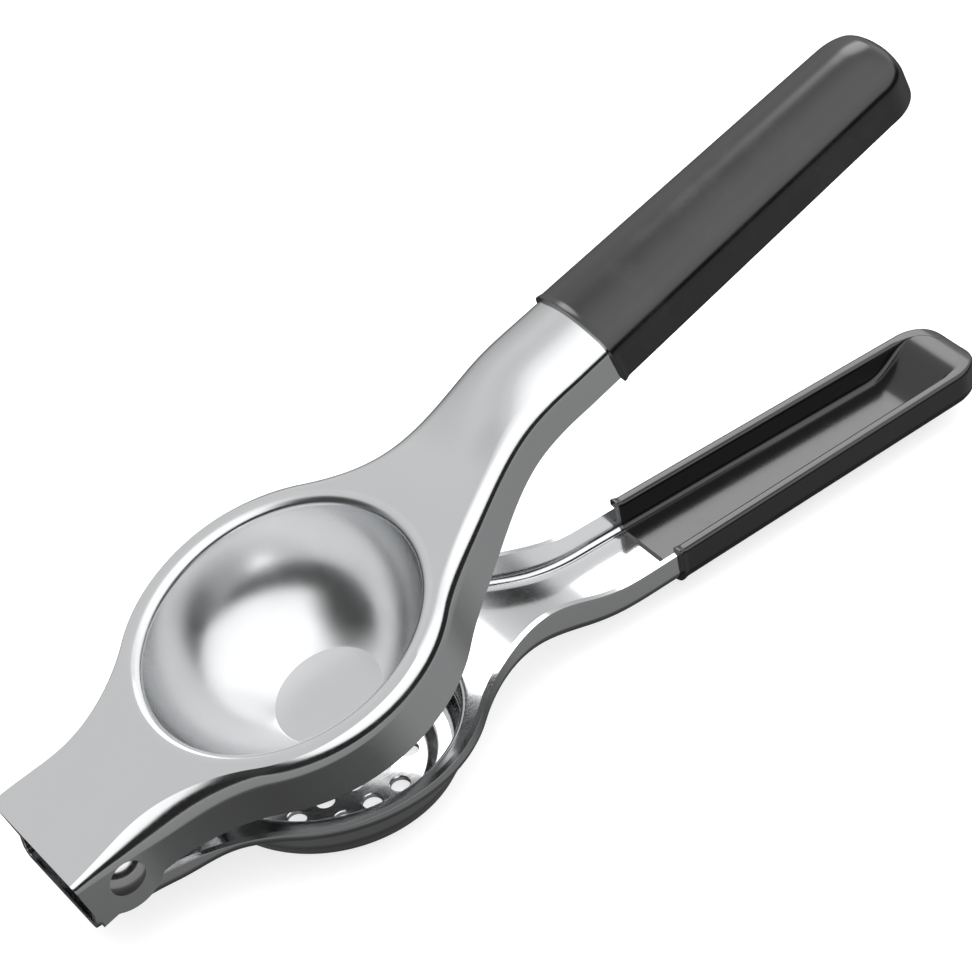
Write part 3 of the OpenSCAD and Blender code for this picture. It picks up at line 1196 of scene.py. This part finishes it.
@dataclass
class Grip:
    """A vinyl sleeve dipped over the end of a channel: skin outside, trough inside, scooped at the tip."""

    name: str
    channel: Channel
    open_deg: float
    material: bpy.types.Material
    start: float = 131.0
    end: float = 212.8
    wall: float = 0.8
    tip_r: float = 7.6
    tip_drop: float = 3.0
    rim_r: float = 0.9
    bead: float = 0.22
    bead_length: float = 1.6
    scoop: tuple[float, float] = (19.0, 3.5)
    corner: int = 5
    # The drip that dipping leaves at the tip: its half-sizes, and how far it is sunk into the skin.
    nub_size: tuple[float, float, float] = (1.1, 2.6, 1.5)
    nub_sink: float = 0.4

    def tip_angle(self, x: float, radius: float, centre: float) -> float:
        """Sine of how far round the tip's plan arc x is, from 0 to 1."""
        return min(1.0, max(0.0, (x - centre) / radius))

    def loop(self, x: float) -> list[tuple[float, float]]:
        """Closed section at x: outer skin, rounded rims and trough.

        Args:
            x: Distance from the hinge.

        Returns:
            Pairs of y and z, as if the web were on top.
        """
        shape = self.channel.section(min(x, self.channel.plan.steel_end))
        half = self.channel.plan.half(x)
        centre = self.end - self.tip_r
        t = self.tip_angle(x, self.tip_r, centre)
        narrow = (self.tip_r - 1.2) * (1 - math.sqrt(1 - t * t))
        swell = self.bead * (1 - ease(x, self.start, self.start + self.bead_length))
        skin = self.wall + swell
        s = self.tip_angle(x, self.tip_drop, self.end - self.tip_drop)
        drop = self.tip_drop * (1 - math.sqrt(1 - s * s))
        outer_half = half + skin - narrow
        room = max(outer_half * 0.75, 0.6)
        web = shape.web + skin - drop
        rim = shape.edge - skin + 0.35 * drop
        outer = Section(
            outer_half,
            web,
            rim + self.rim_r,
            min(shape.bend_in + skin, room),
            min(shape.bend_down + skin, room),
            shape.crown * (1 - t * t),
        ).path()
        wall = self.channel.sheet + 2 * self.wall
        inner_r = self.tip_r - wall * 0.8
        ti = self.tip_angle(x, inner_r, centre)
        inner_half = half + self.wall - wall - (inner_r - 0.6) * (1 - math.sqrt(1 - ti * ti))
        inner_half = max(inner_half, 0.5)
        full = shape.web - self.channel.sheet - self.wall - rim
        close = ease(x, self.end - self.scoop[0], self.end - self.scoop[1])
        depth = max(full * (1 - close), 0.05) if ti < 1 else 0.05
        bend = min(1.6, inner_half * 0.7, depth * 0.8)
        lip = min(self.rim_r, depth * 0.5, (outer_half - inner_half) * 0.45)
        inner = Section(inner_half, rim + depth, rim + lip, bend, bend, shape.crown * (1 - close) * 0.8).path()
        arcs = [i * RIGHT_ANGLE / self.corner for i in range(1, self.corner)]
        out_rim = [
            (outer_half - self.rim_r * (1 - math.cos(a)), rim + self.rim_r - self.rim_r * math.sin(a)) for a in arcs
        ] + [(outer_half - self.rim_r, rim)]
        in_rim = [(inner_half + lip, rim)] + [
            (inner_half + lip * (1 - math.sin(a)), rim + lip * (1 - math.cos(a))) for a in arcs
        ]
        right = out_rim + in_rim
        left = [(-y, z) for y, z in reversed(right)]
        return outer + right + list(reversed(inner)) + left

    def stations(self) -> list[float]:
        """Where the grip's sections stand, close together at its open end and in its tip.

        Returns:
            Distances from the hinge.
        """
        bead = spread(self.start, self.start + self.bead_length, 0.25)
        body = spread(self.start + self.bead_length, self.end - self.scoop[0], 4)
        scoop = spread(self.end - self.scoop[0], self.end - self.tip_r, 0.8)
        angles = np.linspace(0, RIGHT_ANGLE, 22)
        return bead + body + scoop + [self.end - self.tip_r + self.tip_r * math.sin(a) for a in angles]

    def build(self) -> bpy.types.Object:
        """Builds the sleeve and its small drip nub.

        Returns:
            The finished piece.
        """
        sign = self.channel.facing.value
        rows = []
        for x in self.stations():
            loop = self.loop(x)
            rows.append([(x, y, sign * z) for y, z in loop + loop[:1]])
        obj = draped_grid(self.name, rows)
        make_outward(obj)
        close_ends(obj)
        make_outward(obj)
        shape = self.channel.section(self.channel.plan.steel_end)
        height = sign * (shape.web + shape.edge) / 2
        place = (self.end - self.nub_sink, 0, height)
        bpy.ops.mesh.primitive_uv_sphere_add(segments=32, ring_count=16, radius=1, location=place)
        nub = bpy.context.active_object
        nub.scale = self.nub_size
        bpy.ops.object.transform_apply(location=True, rotation=True, scale=True)
        combine(obj, nub, "UNION")
        dress(obj, self.material)
        finish_piece(obj, arm_place(self.open_deg), ROUND_CREASE_DEG)
        return obj


# ---------- rivets ----------


@dataclass
class HingeRivet:
    """A short rivet with a domed head outside and a flattened tail inside, on one side of the nose."""

    name: str
    side: int
    open_deg: float
    material: bpy.types.Material
    face: float = 15.75
    inner_face: float = 12.95
    shank_r: float = 2.5
    head_r: float = 3.8
    head_h: float = 1.5
    tail_h: float = 1.0
    clearance: float = 0.05

    def build(self) -> bpy.types.Object:
        """Builds the rivet.

        Returns:
            The finished piece.
        """
        dome = (self.head_r**2 + self.head_h**2) / (2 * self.head_h)
        wide = math.asin(self.head_r / dome)
        dish = [
            (dome * math.sin(a), self.face + self.head_h - dome * (1 - math.cos(a)))
            for a in np.linspace(wide, wide * 0.08, 14)
        ]
        tail = self.inner_face - self.clearance
        profile = (
            [(self.head_r - 0.5, tail - self.tail_h), (self.head_r - 0.25, tail)]
            + [(self.shank_r, tail), (self.shank_r, self.face), (self.head_r, self.face)]
            + dish
        )
        obj = turned(self.name, profile, (0, 0, 0), 64)
        close_ends(obj)
        obj.data.transform(Matrix.Rotation(-RIGHT_ANGLE * self.side, 4, "X"))
        dress(obj, self.material)
        finish_piece(obj, arm_place(self.open_deg), ROUND_CREASE_DEG)
        return obj


# ---------- studio ----------


@dataclass(frozen=True)
class SoftBox:
    """A round patch of the light tent with a soft edge; a dim one is a black flag."""

    centre: tuple[float, float, float]
    inner_deg: float
    outer_deg: float
    radiance: float


@dataclass
class Studio:
    """Pale light table, a soft light tent, an overhead lamp and the camera."""

    floor_size: float = 6.0
    # The table lies this far under the part, in metres, so that the two don't share a face.
    floor_gap: float = 0.0002
    camera_mm: tuple[float, float, float] = (-198.584, -453.546, 470.772)
    right: tuple[float, float, float] = (0.80486877, -0.57161689, -0.15950047)
    down: tuple[float, float, float] = (-0.47363267, -0.45678742, -0.75300554)
    ahead: tuple[float, float, float] = (0.35757288, 0.68161527, -0.63839036)
    # Light over height, from straight down at 0 to straight up at 1.
    front: tuple[tuple[float, float], ...] = (
        (0.0, 0.05), (0.13, 0.12), (0.18, 0.34), (0.40, 0.36), (0.44, 0.5), (0.46, 0.03), (0.66, 0.02), (0.72, 1.5), (
            1.0,
            1.9,
        )
    )
    back: tuple[tuple[float, float], ...] = (
        (0.0, 0.06), (0.2, 0.08), (0.4, 0.2), (0.5, 0.4), (0.62, 0.7), (0.77, 0.9), (0.87, 0.85), (0.92, 0.95), (
            1.0,
            1.7,
        )
    )
    boxes: tuple[SoftBox, ...] = (
        SoftBox((-0.95, 0.1, 0.3), 15, 42, 0.08),
        SoftBox((0.75, 0.28, 0.60), 16, 28, 1.5),
        SoftBox((0.36, 0.68, 0.64), 9, 17, 4.0),
    )
    lens_mm: float = 129.63
    shift: tuple[float, float] = (0.02608, 0.01039)

    def floor(self) -> None:
        """Lays the light table under the lowest point of the part."""
        low = CAD_BOX[0][2]
        bpy.ops.mesh.primitive_plane_add(size=self.floor_size, location=(0, 0, low - self.floor_gap))
        sheet = bpy.context.active_object
        sheet.name = "studio_floor"
        sheet.data.materials.append(LightTable().build())
        sheet.visible_glossy = False

    def tent(self) -> None:
        """Wraps the scene in a light tent: soft boxes on a gradient that is dim in front, at the left and below."""
        world = bpy.data.worlds.new("light_tent")
        bpy.context.scene.world = world
        world.use_nodes = True
        tree = world.node_tree
        tree.nodes.clear()
        way = add_node(tree, "ShaderNodeTexCoord").outputs["Generated"]
        parts = add_node(tree, "ShaderNodeSeparateXYZ", {0: way})
        height = add_node(
            tree, "ShaderNodeMapRange", {"Value": parts.outputs[2], "From Min": -1.0, "From Max": 1.0}
        ).outputs[0]
        behind = add_node(
            tree, "ShaderNodeMapRange", {"Value": parts.outputs[1], "From Min": -0.2, "From Max": 0.3}
        ).outputs[0]
        front = add_node(tree, "ShaderNodeValToRGB", {0: height}, stops=self.front).outputs[0]
        back = add_node(tree, "ShaderNodeValToRGB", {0: height}, stops=self.back).outputs[0]
        both = add_node(tree, "ShaderNodeMixRGB", {0: behind, 1: front, 2: back})
        light = both.outputs[0]
        for box in self.boxes:
            dot = add_node(
                tree,
                "ShaderNodeVectorMath",
                {0: way, 1: Vector(box.centre).normalized()},
                operation="DOT_PRODUCT",
            )
            lit = add_node(
                tree,
                "ShaderNodeMapRange",
                {
                    "Value": dot.outputs["Value"],
                    "From Min": math.cos(math.radians(box.outer_deg)),
                    "From Max": math.cos(math.radians(box.inner_deg)),
                },
                interpolation_type="SMOOTHSTEP",
            ).outputs[0]
            tone = (box.radiance, box.radiance, box.radiance, 1)
            light = add_node(tree, "ShaderNodeMixRGB", {0: lit, 1: light, 2: tone}).outputs[0]
        glow = add_node(tree, "ShaderNodeBackground", {"Color": light, "Strength": 1.0})
        add_node(tree, "ShaderNodeOutputWorld", {"Surface": glow.outputs[0]})

    def lamp(self, name: str, place: tuple[float, float, float], size: float, watts: float, glossy: bool) -> None:
        """Hangs a soft square lamp that faces the part.

        Args:
            name: The lamp's name.
            place: Where it hangs, in metres.
            size: Its side in metres.
            watts: Its power.
            glossy: Whether it shows in reflections.
        """
        data = bpy.data.lights.new(name, "AREA")
        data.shape = "SQUARE"
        data.size = size
        data.energy = watts
        obj = bpy.data.objects.new(name, data)
        bpy.context.collection.objects.link(obj)
        obj.location = place
        aim = Vector((0.05, 0, 0.03)) - Vector(place)
        obj.rotation_euler = aim.to_track_quat("-Z", "Y").to_euler()
        obj.visible_glossy = glossy

    def camera(self) -> None:
        """Sets up the camera."""
        data = bpy.data.cameras.new("camera")
        data.lens = self.lens_mm
        data.sensor_width = 36.0
        data.shift_x, data.shift_y = self.shift
        data.clip_start = 0.01
        obj = bpy.data.objects.new("camera", data)
        bpy.context.collection.objects.link(obj)
        x, y, z = Vector(self.right), -Vector(self.down), -Vector(self.ahead)
        turn = Matrix((x, y, z)).transposed().to_4x4()
        obj.matrix_world = Matrix.Translation(Vector(self.camera_mm) * MM) @ turn
        bpy.context.scene.camera = obj

    def build(self) -> None:
        """Sets up the whole studio."""
        self.floor()
        self.tent()
        self.lamp("key_overhead", (0.1, 0.1, 1.4), 1.4, 8, False)
        self.camera()
        bpy.context.scene.view_settings.view_transform = "Standard"


# ---------- the squeezer ----------


@dataclass
class Squeezer:
    """The whole tool."""

    open_deg: float = 15.5
    press_plan: Plan = field(default_factory=lambda: Plan(15.75, 40.0, 34.4, 11.4, 54.0))
    strainer_plan: Plan = field(default_factory=lambda: Plan(14.15, 41.6, 32.8, 11.1, 50.0))

    def add(self, obj: bpy.types.Object, node: str, body: Body, slot: str) -> None:
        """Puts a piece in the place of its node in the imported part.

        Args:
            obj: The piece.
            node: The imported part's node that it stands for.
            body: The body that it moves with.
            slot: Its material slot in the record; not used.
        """
        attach(obj, body.value)
        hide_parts(node)

    def build(self) -> None:
        """Builds every piece in order."""
        press = PressChannel(self.press_plan, Facing.UP)
        strainer = StrainerChannel(self.strainer_plan, Facing.DOWN)
        steel = SatinStainless().build()
        vinyl = DippedVinyl().build()
        rivet = UpsetRivetSteel().build()
        self.add(StrainerArm(strainer, steel).build(), "strainer_arm", Body.STRAINER, "polished_steel")
        axis = arm_place(self.open_deg) @ Vector((press.plan.bowl_x, 0, press.top))
        spun = SpunStainless(tuple(axis), self.open_deg).build()
        self.add(PressArm(press, self.open_deg, steel, spun).build(), "press_arm", Body.PRESS, "polished_steel")
        self.add(
            Grip("press_grip_sleeve", press, self.open_deg, vinyl).build(),
            "press_grip",
            Body.PRESS,
            "vinyl_grip",
        )
        self.add(
            Grip("strainer_grip_sleeve", strainer, 0, vinyl).build(),
            "strainer_grip",
            Body.STRAINER,
            "vinyl_grip",
        )
        for name, side in (("hinge_rivet_left", 1), ("hinge_rivet_right", -1)):
            piece = HingeRivet(name + "_formed", side, self.open_deg, rivet).build()
            self.add(piece, name, Body.PRESS, "rivet_steel")


def main() -> None:
    """Builds the squeezer and its studio."""
    logging.basicConfig(level=logging.INFO, format="%(message)s")
    Studio().build()
    Squeezer().build()


if __name__ == "__main__":
    main()
